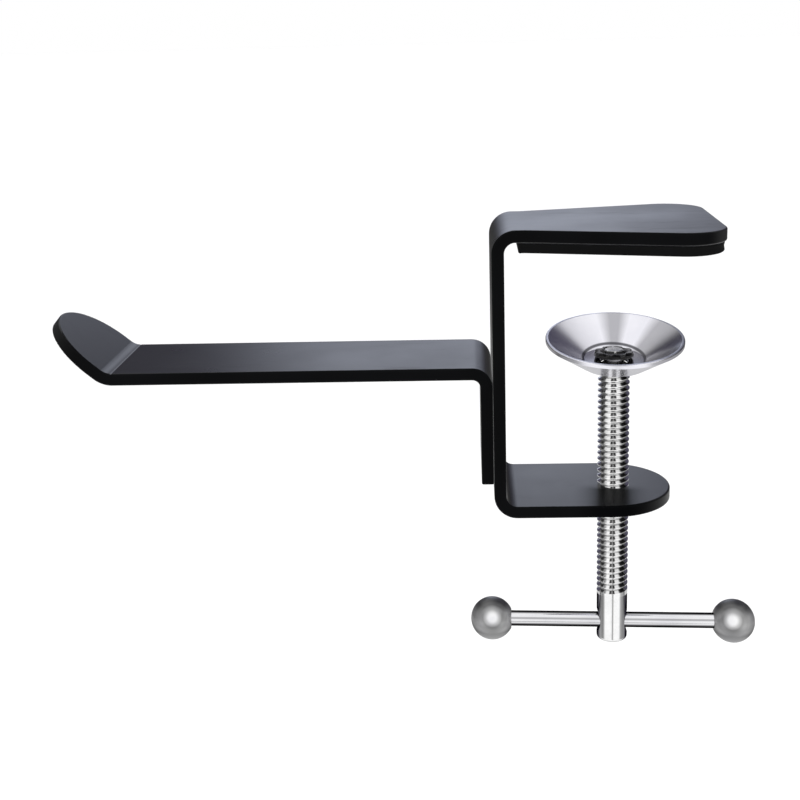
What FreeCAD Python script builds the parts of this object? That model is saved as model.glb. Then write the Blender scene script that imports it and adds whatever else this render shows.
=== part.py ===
import FreeCAD
import Part

import math
import os
import re

import Sketcher

# Desk-clamp headphone hook.
#
# Frame: +Z up, millimetres. The origin is where the clamp screw's axis meets the underside of the
# jaw pad, the plane of the desk top's upper face. The screw's axis is Z. The back of the clamp is
# towards -X, the hook arm reaches out along -X, and the jaws open towards +X.

SIZES = [
    # alias, millimetres or degrees, what it measures
    ("strip_gauge", 3.0, "thickness of both steel strips"),
    ("edge_round", 0.4, "rounding of the strips' sheared edges"),
    ("jaw_width", 32.0, "width of the clamp frame's strip"),
    ("throat_depth", 27.6, "screw axis to the inner face of the back"),
    ("jaw_opening", 62.8, "jaw pad to the upper face of the lower jaw"),
    ("jaw_end_setback", 1.7, "screw axis back to the centre of the lower jaw's round end"),
    ("frame_bend", 2.7, "inside radius of the clamp frame's two bends"),
    ("flare_start", 22.6, "screw axis back to where the upper jaw starts to widen"),
    ("jaw_reach", 24.1, "screw axis forward to the upper jaw's end"),
    ("jaw_corner_half_width", 27.3, "half the upper jaw's width at its end, before rounding"),
    ("jaw_corner_radius", 9.7, "radius of the upper jaw's two front corners"),
    ("pad_thickness", 2.4, "jaw pad"),
    ("pad_inset", 0.5, "jaw edge to pad edge"),
    ("pad_start", 24.3, "screw axis back to the pad's rear edge"),
    ("film_thickness", 0.2, "adhesive film between pad and jaw"),
    ("arm_width", 30.0, "width of the hook arm's strip"),
    ("arm_drop", 27.8, "jaw pad's face down to the arm's upper face"),
    ("leg_length", 29.4, "arm's upper face down to the leg's lower end"),
    ("arm_reach", 93.8, "back of the clamp out to the crease of the tip"),
    ("arm_bend", 2.0, "inside radius of the bend between leg and arm"),
    ("tip_angle", 40.0, "slope of the upturned tip"),
    ("tip_straight", 3.5, "crease to the centre of the tip's round end"),
    ("crease_inside", 4.0, "radius of the crease on the tip's upper face"),
    ("crease_outside", 7.0, "radius of the crease underneath"),
    ("press_mark_place", 1.3, "crease in to the fine line that the bending tool pressed across the arm"),
    ("press_mark_width", 0.5, "that line's width"),
    ("press_mark_depth", 0.12, "that line's depth"),
    ("rivet_radius", 2.0, "shank of the flush rivets"),
    ("rivet_head_radius", 3.5, "countersunk heads of the flush rivets"),
    ("rivet_fit", 0.02, "radial room around a rivet"),
    ("rivet_first", 9.5, "arm's upper face down to the upper rivet"),
    ("rivet_step", 13.0, "upper rivet to lower rivet"),
    ("screw_radius", 4.0, "thread crest of the clamp screw"),
    ("pitch", 1.5, "thread pitch"),
    ("thread_depth", 0.92, "crest to root"),
    ("crest_land", 0.19, "flat on the thread's crest"),
    ("thread_fit", 0.1, "room around the thread in the tapped hole"),
    ("tapped_radius", 3.3, "crest of the tapped hole"),
    ("flank_angle", 30.0, "half the angle between a thread's flanks"),
    ("groove_runout", 0.3, "turns that the screw's groove runs on past its domed end"),
    ("tapped_turns_below", 15.5, "turns from the screw's first groove to the tapped hole's"),
    ("tapped_turns", 5.3, "turns of the tapped groove, which runs out past both faces"),
    ("screw_end_drop", 105.4, "jaw pad's face down to the screw's lower end"),
    ("head_radius", 3.95, "plain head of the screw"),
    ("head_length", 13.0, "plain head of the screw"),
    ("head_round", 0.9, "rounding of the head's lower edge"),
    ("cross_hole_height", 4.9, "screw's lower end up to the cross hole"),
    ("cross_hole_radius", 2.1, "cross hole for the tommy bar"),
    ("cross_sink_start", 2.7, "screw axis out to where the cross hole starts to flare"),
    ("cross_sink_end", 4.5, "screw axis out to the end of the flaring cut"),
    ("swivel_drop", 35.0, "jaw pad's face down to the centre of the cup's swivel"),
    ("swivel_depth", 4.0, "swivel centre up to the cup's underside"),
    ("swivel_fit", 0.05, "room between the screw's domed end and the cup"),
    ("stub_radius", 2.5, "stub that passes through the cup"),
    ("stub_length", 7.7, "swivel centre up to the stub's end"),
    ("stub_round", 0.6, "rounding of the stub's end"),
    ("cup_lean", 9.0, "how far the loose cup leans towards -Y when nothing is clamped"),
    ("cup_gauge", 1.2, "sheet thickness of the cup"),
    ("cup_hole_radius", 3.5, "hole in the cup's floor"),
    ("cup_floor_radius", 7.7, "flat floor inside the cup"),
    ("cup_rim_radius", 17.15, "outside of the rim"),
    ("cup_lip", 0.7, "flat width of the rim"),
    ("cup_depth", 6.0, "rim down to the floor"),
    ("cup_floor_round", 0.6, "radius where the cup's wall meets its floor inside"),
    ("cup_heel_round", 1.8, "radius of the same bend outside"),
    ("cup_lip_round", 0.25, "rounding of the rim's two edges"),
    ("washer_gap", 0.9, "cup floor to washer, the play that lets the cup swivel"),
    ("washer_radius", 4.9, "outside of the washer"),
    ("washer_bore", 2.6, "hole in the washer"),
    ("washer_thickness", 0.6, "washer"),
    ("washer_round", 0.2, "rounding of the washer's stamped edge"),
    ("clip_radius", 4.7, "points of the star clip"),
    ("clip_notch_depth", 0.9, "points of the star clip in to its notches"),
    ("clip_gauge", 0.5, "sheet thickness of the star clip"),
    ("clip_hub_radius", 3.5, "foot of the star clip's raised teeth"),
    ("clip_hub_height", 0.9, "top of the star clip's raised teeth"),
    ("clip_bore", 2.53, "tips of the star clip's teeth"),
    ("clip_tooth_flat", 0.3, "flat top of a tooth at its tip"),
    ("clip_slot", 0.5, "slot between two teeth"),
    ("clip_teeth", 8, "number of points, and of teeth"),
    ("clip_gap", 0.05, "washer to star clip"),
    ("bar_radius", 2.0, "tommy bar"),
    ("spigot_radius", 1.5, "reduced end of the tommy bar inside a ball"),
    ("spigot_length", 4.5, "reduced end of the tommy bar inside a ball"),
    ("spigot_fit", 0.02, "radial room around the reduced end"),
    ("bar_turn", 2.5, "how far the bar's right end is turned about the screw towards -Y"),
    ("ball_radius", 5.6, "ball end"),
    ("ball_centre", 31.3, "screw axis out to a ball's centre"),
    ("ball_flat", 5.02, "ball's centre in to the flat that meets the bar"),
    ("bore_room", 0.5, "room past the bar's end inside a ball"),
    ("flare_overlap", 1.0, "how far the bent strip runs on inside the flared plate"),
    ("overrun", 0.2, "how far a cut's outline stands clear of the metal"),
    ("through", 9.0, "length of a cut that passes right through one sheet"),
]

doc = FreeCAD.newDocument("headphone_hook")
sheet = doc.addObject("Spreadsheet::Sheet", "sizes")
for row, (alias, value, meaning) in enumerate(SIZES, start=1):
    sheet.set(f"A{row}", meaning)
    sheet.set(f"B{row}", str(value))
    sheet.setAlias(f"B{row}", alias)
doc.recompute()
ALIASES = {alias for alias, _, _ in SIZES}


def formula(text):
    """A formula written with the sheet's aliases, in the form that setExpression wants."""
    return re.sub(r"[a-z_]+", lambda word: "sizes." + word[0] if word[0] in ALIASES else word[0], text)


def size(text):
    """The number that a formula gives now."""
    return float(sheet.evalExpression(formula(text)))


def bind(thing, path, text):
    """Ties one property of an object to a formula."""
    thing.setExpression(path, formula(text))


# ---- bodies, sketches and features ------------------------------------------------------------

def new_body(label, x="0", y="0", z="0"):
    """A body whose own origin is placed at x, y, z in the row's frame."""
    body = doc.addObject("PartDesign::Body", label)
    body.Label = label
    bind(body, ".Placement.Base.x", x)
    bind(body, ".Placement.Base.y", y)
    bind(body, ".Placement.Base.z", z)
    return body


def turn_body(body, axis, angle):
    """Turns a body about its own origin, by a formula's angle about one axis."""
    body.Placement = FreeCAD.Placement(
        body.Placement.Base, FreeCAD.Rotation(FreeCAD.Vector(*axis), size(angle)))
    bind(body, ".Placement.Rotation.Angle", angle)


def new_sketch(body, name, role, across="0", along="0", out="0"):
    """A sketch on one of the body's origin planes, its own origin shifted by the three formulas."""
    sketch = body.newObject("Sketcher::SketchObject", name)
    plane = next(item for item in body.Origin.OriginFeatures if item.Role == role)
    sketch.AttachmentSupport = [(plane, "")]
    sketch.MapMode = "FlatFace"
    for axis, text in zip("xyz", (across, along, out)):
        bind(sketch, f".AttachmentOffset.Base.{axis}", text)
    return sketch


def turn_sketch(sketch, axis, angle):
    """Turns a sketch about its own origin, by a formula's angle about one of its own axes."""
    sketch.AttachmentOffset = FreeCAD.Placement(
        sketch.AttachmentOffset.Base, FreeCAD.Rotation(FreeCAD.Vector(*axis), size(angle)))
    bind(sketch, ".AttachmentOffset.Rotation.Angle", angle)


def place_point(sketch, geometry, point, across, along):
    """Dimensions one point of a sketch from the sketch's origin."""
    for kind, text in (("DistanceX", across), ("DistanceY", along)):
        index = sketch.addConstraint(Sketcher.Constraint(kind, -1, 1, geometry, point, size(text)))
        bind(sketch, f"Constraints[{index}]", text)


def draw_polygon(sketch, corners):
    """A closed ring of lines, each corner placed by a pair of formulas."""
    points = [FreeCAD.Vector(size(across), size(along), 0) for across, along in corners]
    count = len(points)
    for number, start in enumerate(points):
        sketch.addGeometry(Part.LineSegment(start, points[(number + 1) % count]))
    for number in range(count):
        sketch.addConstraint(Sketcher.Constraint("Coincident", number, 2, (number + 1) % count, 1))
    for number, (across, along) in enumerate(corners):
        place_point(sketch, number, 1, across, along)


def draw_circle(sketch, radius):
    """A circle about the sketch's origin."""
    circle = Part.Circle(FreeCAD.Vector(), FreeCAD.Vector(0, 0, 1), size(radius))
    number = sketch.addGeometry(circle)
    sketch.addConstraint(Sketcher.Constraint("Coincident", number, 3, -1, 1))
    index = sketch.addConstraint(Sketcher.Constraint("Radius", number, size(radius)))
    bind(sketch, f"Constraints[{index}]", radius)


def add_pad(body, sketch, name, length, midplane=False, reverse=False):
    """Thickens a sketch: away from its plane, to both sides of it, or to its other side."""
    pad = body.newObject("PartDesign::Pad", name)
    pad.Profile = sketch
    bind(pad, "Length", length)
    pad.Midplane = midplane
    pad.Reversed = reverse
    pad.Refine = True
    doc.recompute()
    return pad


def add_turned(body, sketch, name, kind, axis):
    """Turns a sketch a full circle about its own axis, as a Revolution or a Groove."""
    volume = body.Shape.Volume if kind == "Groove" else 0
    turned = body.newObject(f"PartDesign::{kind}", name)
    turned.Profile = sketch
    turned.ReferenceAxis = (sketch, [axis])
    turned.Angle = 360
    turned.Refine = True
    doc.recompute()
    if kind == "Groove" and not turned.Shape.Volume < volume:
        raise RuntimeError(f"{name} cuts nothing")
    return turned


def add_pocket(body, sketch, name, length):
    """Cuts a sketch's outline to half the length on each side of the sketch."""
    volume = body.Shape.Volume
    pocket = body.newObject("PartDesign::Pocket", name)
    pocket.Profile = sketch
    bind(pocket, "Length", length)
    pocket.Midplane = True
    doc.recompute()
    if not pocket.Shape.Volume < volume:
        raise RuntimeError(f"{name} cuts nothing")
    return pocket


def add_helical_cut(body, sketch, name, turns):
    """Cuts a right-hand thread's groove, starting at the sketch and climbing about Z."""
    volume = body.Shape.Volume
    helix = body.newObject("PartDesign::SubtractiveHelix", name)
    helix.Profile = sketch
    helix.ReferenceAxis = (sketch, ["V_Axis"])
    helix.Mode = "pitch-height-angle"
    bind(helix, "Pitch", "pitch")
    bind(helix, "Height", f"({turns}) * pitch")
    doc.recompute()
    if not helix.Shape.Volume < volume:
        raise RuntimeError(f"{name} cuts nothing")
    return helix


def add_fillet(body, base, name, radius, chosen):
    """Rounds the edges of a feature that the test picks out."""
    edges = [f"Edge{number}" for number, edge in enumerate(base.Shape.Edges, start=1) if chosen(edge)]
    if not edges:
        raise RuntimeError(f"{name} finds no edge")
    fillet = body.newObject("PartDesign::Fillet", name)
    fillet.Base = (base, edges)
    bind(fillet, "Radius", radius)
    doc.recompute()
    return fillet


def near(first, second):
    """True for two lengths that are the same but for rounding."""
    return abs(first - second) < 1e-4


def along_sheet(edge):
    """True for an edge that is too long to be one that only crosses a strip's thickness."""
    return edge.BoundBox.DiagonalLength > 1.2 * size("strip_gauge")


def crossbar_at(across, up):
    """Picks out edges parallel to Y that pass through x = across and z = up."""
    x = size(across)
    z = size(up)

    def chosen(edge):
        box = edge.BoundBox
        return near(box.XMin, x) and near(box.XMax, x) and near(box.ZMin, z) and near(box.ZMax, z)

    return chosen


def upright_at(across):
    """Picks out vertical edges at x = across."""
    x = size(across)

    def chosen(edge):
        box = edge.BoundBox
        return near(box.XMin, x) and near(box.XMax, x) and near(box.YLength, 0)

    return chosen


def round_edge_at(radius, up):
    """Picks out circular edges about Z of one radius, at z = up."""
    wanted = size(radius)
    z = size(up)

    def chosen(edge):
        box = edge.BoundBox
        return near(box.XLength, 2 * wanted) and near(box.ZMin, z) and near(box.ZMax, z)

    return chosen


# ---- the steel strips and what joins them --------------------------------------------------------

RIVET_HEIGHTS = ["-arm_drop - rivet_first", "-arm_drop - rivet_first - rivet_step"]
BACK_OUTER = "-throat_depth - strip_gauge"


def cut_rivet_seats(body, wall_x, head_side, heights):
    """Countersunk holes through a strip whose contact face is at wall_x, heads on the other side."""
    for number, height in enumerate(heights, start=1):
        seat = new_sketch(body, f"rivet_seat_sketch_{number}", "XZ_Plane", along=height)
        face = f"{wall_x} {head_side} strip_gauge"
        sink = f"{face} - ({head_side} (rivet_head_radius - rivet_radius))"
        draw_polygon(seat, [
            (wall_x, "0"),
            (wall_x, "rivet_radius + rivet_fit"),
            (sink, "rivet_radius + rivet_fit"),
            (face, "rivet_head_radius + rivet_fit"),
            (face, "0"),
        ])
        add_turned(body, seat, f"rivet_seat_{number}", "Groove", "H_Axis")


def make_clamp_frame():
    """The clamp: lower jaw, back and flared upper jaw bent from one strip, tapped for the screw."""
    body = new_body("clamp_frame")
    top = "pad_thickness + film_thickness + strip_gauge"
    upper_face = "pad_thickness + film_thickness"
    low = "-jaw_opening - strip_gauge"
    inner = "-throat_depth"
    end_centre = "-jaw_end_setback"
    side = new_sketch(body, "side_sketch", "XZ_Plane")
    draw_polygon(side, [
        (end_centre, low),
        (BACK_OUTER, low),
        (BACK_OUTER, top),
        ("flare_overlap - flare_start", top),
        ("flare_overlap - flare_start", upper_face),
        (inner, upper_face),
        (inner, "-jaw_opening"),
        (end_centre, "-jaw_opening"),
    ])
    strip = add_pad(body, side, "strip", "jaw_width", midplane=True)
    bent = add_fillet(body, strip, "outer_bends", "frame_bend + strip_gauge",
                      lambda edge: any(crossbar_at(BACK_OUTER, z)(edge) for z in (low, top)))
    add_fillet(body, bent, "inner_bends", "frame_bend",
               lambda edge: any(crossbar_at(inner, z)(edge) for z in ("-jaw_opening", upper_face)))

    lower_end = new_sketch(body, "lower_end_sketch", "XY_Plane", across=end_centre, out=low)
    draw_circle(lower_end, "jaw_width / 2")
    add_pad(body, lower_end, "lower_end", "strip_gauge")

    upper = new_sketch(body, "upper_jaw_sketch", "XY_Plane", out=upper_face)
    draw_polygon(upper, [
        ("-flare_start", "-jaw_width / 2"),
        ("jaw_reach", "-jaw_corner_half_width"),
        ("jaw_reach", "jaw_corner_half_width"),
        ("-flare_start", "jaw_width / 2"),
    ])
    plate = add_pad(body, upper, "upper_jaw", "strip_gauge")
    plate = add_fillet(body, plate, "jaw_corners", "jaw_corner_radius", upright_at("jaw_reach"))
    add_fillet(body, plate, "rolled_edges", "edge_round", along_sheet)

    cut_rivet_seats(body, BACK_OUTER, "+", RIVET_HEIGHTS)

    hole = new_sketch(body, "tapped_hole_sketch", "XY_Plane", out=low)
    draw_circle(hole, "tapped_radius")
    add_pocket(body, hole, "tapped_hole", "through")
    groove = new_sketch(body, "tapped_groove_sketch", "YZ_Plane",
                        along="head_length + pitch / 2 - screw_end_drop + tapped_turns_below * pitch")
    slope = "tan(flank_angle)"
    mouth = f"(crest_land / 2 + {slope} * (screw_radius - tapped_radius) + thread_fit / cos(flank_angle))"
    floor = f"(crest_land / 2 + {slope} * thread_fit)"
    draw_polygon(groove, [
        ("tapped_radius - overrun", f"-{mouth} - overrun * {slope}"),
        ("screw_radius + thread_fit", f"-{floor}"),
        ("screw_radius + thread_fit", floor),
        ("tapped_radius - overrun", f"{mouth} + overrun * {slope}"),
    ])
    add_helical_cut(body, groove, "tapped_thread", "tapped_turns")
    return body


def make_jaw_sheet(label, inset, thickness, z):
    """A flat sheet with the upper jaw's outline, stepped in from its edges."""
    body = new_body(label, z=z)
    outline = new_sketch(body, "outline_sketch", "XY_Plane")
    slope = "((jaw_corner_half_width - jaw_width / 2) / (jaw_reach + flare_start))"
    front = f"(jaw_reach - {inset})"
    front_half = f"(jaw_corner_half_width - {inset} * ({slope} + sqrt(1 + {slope} ^ 2)))"
    rear_half = f"(jaw_width / 2 - {inset})"
    draw_polygon(outline, [
        ("-pad_start", f"-{rear_half}"),
        ("-flare_start", f"-{rear_half}"),
        (front, f"-{front_half}"),
        (front, front_half),
        ("-flare_start", rear_half),
        ("-pad_start", rear_half),
    ])
    sheet_pad = add_pad(body, outline, "sheet", thickness)
    add_fillet(body, sheet_pad, "corners", f"jaw_corner_radius - {inset}", upright_at(front))
    return body


def make_hook_arm():
    """The hook: a leg that lies on the back of the clamp, a straight arm and an upturned round tip."""
    body = new_body("hook_arm", x=BACK_OUTER, z="-arm_drop")
    crease = "-arm_reach"
    tip_x = f"({crease} - tip_straight * cos(tip_angle))"
    tip_z = "(tip_straight * sin(tip_angle))"
    side = new_sketch(body, "side_sketch", "XZ_Plane")
    draw_polygon(side, [
        ("0", "-leg_length"),
        ("0", "0"),
        (crease, "0"),
        (tip_x, tip_z),
        (f"{tip_x} - strip_gauge * sin(tip_angle)", f"{tip_z} - strip_gauge * cos(tip_angle)"),
        (f"{crease} - strip_gauge * tan(tip_angle / 2)", "-strip_gauge"),
        ("-strip_gauge", "-strip_gauge"),
        ("-strip_gauge", "-leg_length"),
    ])
    strip = add_pad(body, side, "strip", "arm_width", midplane=True)

    tip = new_sketch(body, "tip_sketch", "XY_Plane", across=tip_x, out=tip_z)
    turn_sketch(tip, (0, 1, 0), "tip_angle")
    half = size("arm_width / 2")
    circle = Part.Circle(FreeCAD.Vector(), FreeCAD.Vector(0, 0, 1), half)
    tip.addGeometry(Part.ArcOfCircle(circle, math.pi / 2, 3 * math.pi / 2))
    tip.addGeometry(Part.LineSegment(FreeCAD.Vector(0, -half, 0), FreeCAD.Vector(0, half, 0)))
    tip.addConstraint(Sketcher.Constraint("Coincident", 0, 3, -1, 1))
    tip.addConstraint(Sketcher.Constraint("Coincident", 0, 2, 1, 1))
    tip.addConstraint(Sketcher.Constraint("Coincident", 0, 1, 1, 2))
    tip.addConstraint(Sketcher.Constraint("PointOnObject", 0, 1, -2))
    tip.addConstraint(Sketcher.Constraint("PointOnObject", 0, 2, -2))
    radius = tip.addConstraint(Sketcher.Constraint("Radius", 0, half))
    bind(tip, f"Constraints[{radius}]", "arm_width / 2")
    tip_pad = add_pad(body, tip, "round_tip", "strip_gauge", reverse=True)

    shape = add_fillet(body, tip_pad, "outer_bend", "arm_bend + strip_gauge", crossbar_at("0", "0"))
    shape = add_fillet(body, shape, "inner_bend", "arm_bend",
                       crossbar_at("-strip_gauge", "-strip_gauge"))
    shape = add_fillet(body, shape, "crease_top", "crease_inside", crossbar_at(crease, "0"))
    shape = add_fillet(body, shape, "crease_under", "crease_outside",
                       crossbar_at(f"{crease} - strip_gauge * tan(tip_angle / 2)", "-strip_gauge"))

    def sheared(edge):
        """The edges that the shears left: the long sides, the round tip and the leg's lower end."""
        box = edge.BoundBox
        if near(box.YLength, size("arm_width")) and near(box.ZLength, 0):
            return near(box.ZMax, -size("leg_length"))
        return along_sheet(edge)

    add_fillet(body, shape, "rolled_edges", "edge_round", sheared)

    mark = new_sketch(body, "press_mark_sketch", "XZ_Plane", across=f"{crease} + press_mark_place")
    draw_polygon(mark, [
        ("0", "-press_mark_depth"),
        ("press_mark_width / 2", "0"),
        ("press_mark_width / 2", "overrun"),
        ("-press_mark_width / 2", "overrun"),
        ("-press_mark_width / 2", "0"),
    ])
    add_pocket(body, mark, "press_mark", "arm_width")

    cut_rivet_seats(body, "0", "-", [f"{height} + arm_drop" for height in RIVET_HEIGHTS])
    return body


def make_rivets():
    """Two flush rivets that hold the leg to the back: a shank with a countersunk head at each end."""
    rivets = []
    for number, height in enumerate(RIVET_HEIGHTS, start=1):
        shank = doc.addObject("Part::Cylinder", f"rivet_shank_{number}")
        bind(shank, "Radius", "rivet_radius")
        bind(shank, "Height", "2 * strip_gauge")
        outer_head = doc.addObject("Part::Cone", f"rivet_outer_head_{number}")
        inner_head = doc.addObject("Part::Cone", f"rivet_inner_head_{number}")
        for head, first, second in ((outer_head, "rivet_head_radius", "rivet_radius"),
                                    (inner_head, "rivet_radius", "rivet_head_radius")):
            bind(head, "Radius1", first)
            bind(head, "Radius2", second)
            bind(head, "Height", "rivet_head_radius - rivet_radius")
        bind(inner_head, ".Placement.Base.z", "2 * strip_gauge - (rivet_head_radius - rivet_radius)")
        rivet = doc.addObject("Part::MultiFuse", f"rivet_{number}")
        rivet.Shapes = [shank, outer_head, inner_head]
        rivet.Placement = FreeCAD.Placement(
            FreeCAD.Vector(), FreeCAD.Rotation(FreeCAD.Vector(0, 1, 0), 90))
        bind(rivet, ".Placement.Base.x", "-throat_depth - 2 * strip_gauge")
        bind(rivet, ".Placement.Base.z", height)
        rivets.append(rivet)
    group = doc.addObject("Part::Compound", "hook_rivets")
    group.Label = "hook_rivets"
    group.Links = rivets
    return group


# ---- the clamp screw, its cup and its bar --------------------------------------------------------

def make_clamp_screw():
    """The screw: cross-drilled plain head, thread, domed end for the cup, and a stub through it."""
    body = new_body("clamp_screw", z="-screw_end_drop")
    swivel = "(screw_end_drop - swivel_drop)"
    dome = "(sqrt(swivel_depth ^ 2 + cup_hole_radius ^ 2) - swivel_fit)"
    thread_end = f"({swivel} + sqrt({dome} ^ 2 - screw_radius ^ 2))"
    stub_foot = f"({swivel} + sqrt({dome} ^ 2 - stub_radius ^ 2))"
    half = new_sketch(body, "half_sketch", "XZ_Plane")
    draw_polygon(half, [
        ("0", "0"),
        ("head_radius", "0"),
        ("head_radius", "head_length"),
        ("screw_radius", "head_length"),
        ("screw_radius", thread_end),
        ("stub_radius", stub_foot),
        ("stub_radius", f"{swivel} + stub_length"),
        ("0", f"{swivel} + stub_length"),
    ])
    blank = add_turned(body, half, "blank", "Revolution", "V_Axis")
    blank = add_fillet(body, blank, "head_rounding", "head_round", round_edge_at("head_radius", "0"))
    add_fillet(body, blank, "stub_rounding", "stub_round",
               round_edge_at("stub_radius", f"{swivel} + stub_length"))

    groove = new_sketch(body, "groove_sketch", "YZ_Plane", along="head_length + pitch / 2")
    root = "(screw_radius - thread_depth)"
    slope = "tan(flank_angle)"
    mouth = "((pitch - crest_land) / 2)"
    draw_polygon(groove, [
        (root, f"-({mouth} - {slope} * thread_depth)"),
        ("screw_radius + overrun", f"-({mouth} + {slope} * overrun)"),
        ("screw_radius + overrun", f"{mouth} + {slope} * overrun"),
        (root, f"{mouth} - {slope} * thread_depth"),
    ])
    add_helical_cut(body, groove, "thread", f"({thread_end} - head_length) / pitch + groove_runout")

    cross = new_sketch(body, "cross_hole_sketch", "XZ_Plane", along="cross_hole_height")
    turn_sketch(cross, (0, -1, 0), "bar_turn")
    wide = "cross_hole_radius + cross_sink_end - cross_sink_start"
    draw_polygon(cross, [
        ("-cross_sink_end", "0"),
        ("cross_sink_end", "0"),
        ("cross_sink_end", wide),
        ("cross_sink_start", "cross_hole_radius"),
        ("-cross_sink_start", "cross_hole_radius"),
        ("-cross_sink_end", wide),
    ])
    add_turned(body, cross, "cross_hole", "Groove", "H_Axis")
    return body


def make_pressure_cup():
    """The conical cup that presses on the desk, leaning on the screw's domed end."""
    body = new_body("pressure_cup", z="-swivel_drop")
    turn_body(body, (1, 0, 0), "cup_lean")
    under = "swivel_depth"
    floor = "(swivel_depth + cup_gauge)"
    rim = "(swivel_depth + cup_gauge + cup_depth)"
    wall_run = "(cup_rim_radius - cup_lip - cup_floor_radius)"
    wall_angle = f"atan(cup_depth / {wall_run})"
    heel = f"(cup_floor_radius + cup_gauge * tan({wall_angle} / 2))"
    half = new_sketch(body, "half_sketch", "XZ_Plane")
    draw_polygon(half, [
        ("cup_hole_radius", under),
        (heel, under),
        ("cup_rim_radius", f"{under} + (cup_rim_radius - {heel}) * cup_depth / {wall_run}"),
        ("cup_rim_radius", rim),
        ("cup_rim_radius - cup_lip", rim),
        ("cup_floor_radius", floor),
        ("cup_hole_radius", floor),
    ])
    cup = add_turned(body, half, "spun_sheet", "Revolution", "V_Axis")
    cup = add_fillet(body, cup, "floor_corner", "cup_floor_round",
                     round_edge_at("cup_floor_radius", floor))
    cup = add_fillet(body, cup, "heel_corner", "cup_heel_round", round_edge_at(heel, under))
    add_fillet(body, cup, "rim_edges", "cup_lip_round",
               lambda edge: round_edge_at("cup_rim_radius", rim)(edge)
               or round_edge_at("cup_rim_radius - cup_lip", rim)(edge))
    return body


def make_cup_washer():
    """The flat washer that keeps the cup on the screw's stub."""
    body = new_body("cup_washer", z="-swivel_drop + swivel_depth + cup_gauge + washer_gap")
    half = new_sketch(body, "half_sketch", "XZ_Plane")
    draw_polygon(half, [
        ("washer_bore", "0"),
        ("washer_radius", "0"),
        ("washer_radius", "washer_thickness"),
        ("washer_bore", "washer_thickness"),
    ])
    ring = add_turned(body, half, "ring", "Revolution", "V_Axis")
    add_fillet(body, ring, "stamped_edge", "washer_round",
               round_edge_at("washer_radius", "washer_thickness"))
    return body


def make_star_clip():
    """The push-on star clip: a pointed ring whose slotted inner teeth rise and grip the stub."""
    body = new_body("star_clip", z="-swivel_drop + swivel_depth + cup_gauge + washer_gap"
                                   " + washer_thickness + clip_gap")
    half = new_sketch(body, "half_sketch", "XZ_Plane")
    draw_polygon(half, [
        ("clip_hub_radius", "0"),
        ("clip_radius", "0"),
        ("clip_radius", "clip_gauge"),
        ("clip_hub_radius", "clip_gauge"),
        ("clip_bore + clip_tooth_flat", "clip_hub_height"),
        ("clip_bore", "clip_hub_height"),
        ("clip_bore", "clip_hub_height - clip_gauge"),
    ])
    add_turned(body, half, "dished_ring", "Revolution", "V_Axis")
    root = "(clip_radius - clip_notch_depth)"
    edge_half = "(clip_radius * sin(180 / clip_teeth))"
    notch = new_sketch(body, "notch_sketch", "XY_Plane")
    draw_polygon(notch, [
        (root, "0"),
        ("clip_radius + overrun", f"-{edge_half}"),
        ("clip_radius + overrun", edge_half),
    ])
    cut = add_pocket(body, notch, "notch", "through")
    spread_round(body, cut, "points")
    slot = new_sketch(body, "slot_sketch", "XY_Plane")
    draw_polygon(slot, [
        ("clip_bore - overrun", "-clip_slot / 2"),
        ("clip_hub_radius", "-clip_slot / 2"),
        ("clip_hub_radius", "clip_slot / 2"),
        ("clip_bore - overrun", "clip_slot / 2"),
    ])
    cut = add_pocket(body, slot, "slot", "through")
    spread_round(body, cut, "teeth")
    return body


def spread_round(body, feature, name):
    """Repeats a cut about Z, once for each point of the star clip."""
    volume = body.Shape.Volume
    pattern = body.newObject("PartDesign::PolarPattern", name)
    pattern.Originals = [feature]
    pattern.Axis = (feature.Profile[0], ["N_Axis"])
    pattern.Angle = 360
    bind(pattern, "Occurrences", "clip_teeth")
    body.Tip = pattern
    doc.recompute()
    if not pattern.Shape.Volume < volume:
        raise RuntimeError(f"{name} cuts nothing")
    return pattern


BAR_DROP = "-screw_end_drop + cross_hole_height"


def make_tommy_bar():
    """The bar that slides in the cross hole, reduced at both ends to take the balls."""
    body = new_body("tommy_bar", z=BAR_DROP)
    turn_body(body, (0, 0, -1), "bar_turn")
    half = new_sketch(body, "half_sketch", "XZ_Plane")
    shoulder = "(ball_centre - ball_flat)"
    end = "(ball_centre - ball_flat + spigot_length)"
    draw_polygon(half, [
        (f"-{end}", "0"),
        (end, "0"),
        (end, "spigot_radius"),
        (shoulder, "spigot_radius"),
        (shoulder, "bar_radius"),
        (f"-{shoulder}", "bar_radius"),
        (f"-{shoulder}", "spigot_radius"),
        (f"-{end}", "spigot_radius"),
    ])
    add_turned(body, half, "bar", "Revolution", "H_Axis")
    return body


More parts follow.
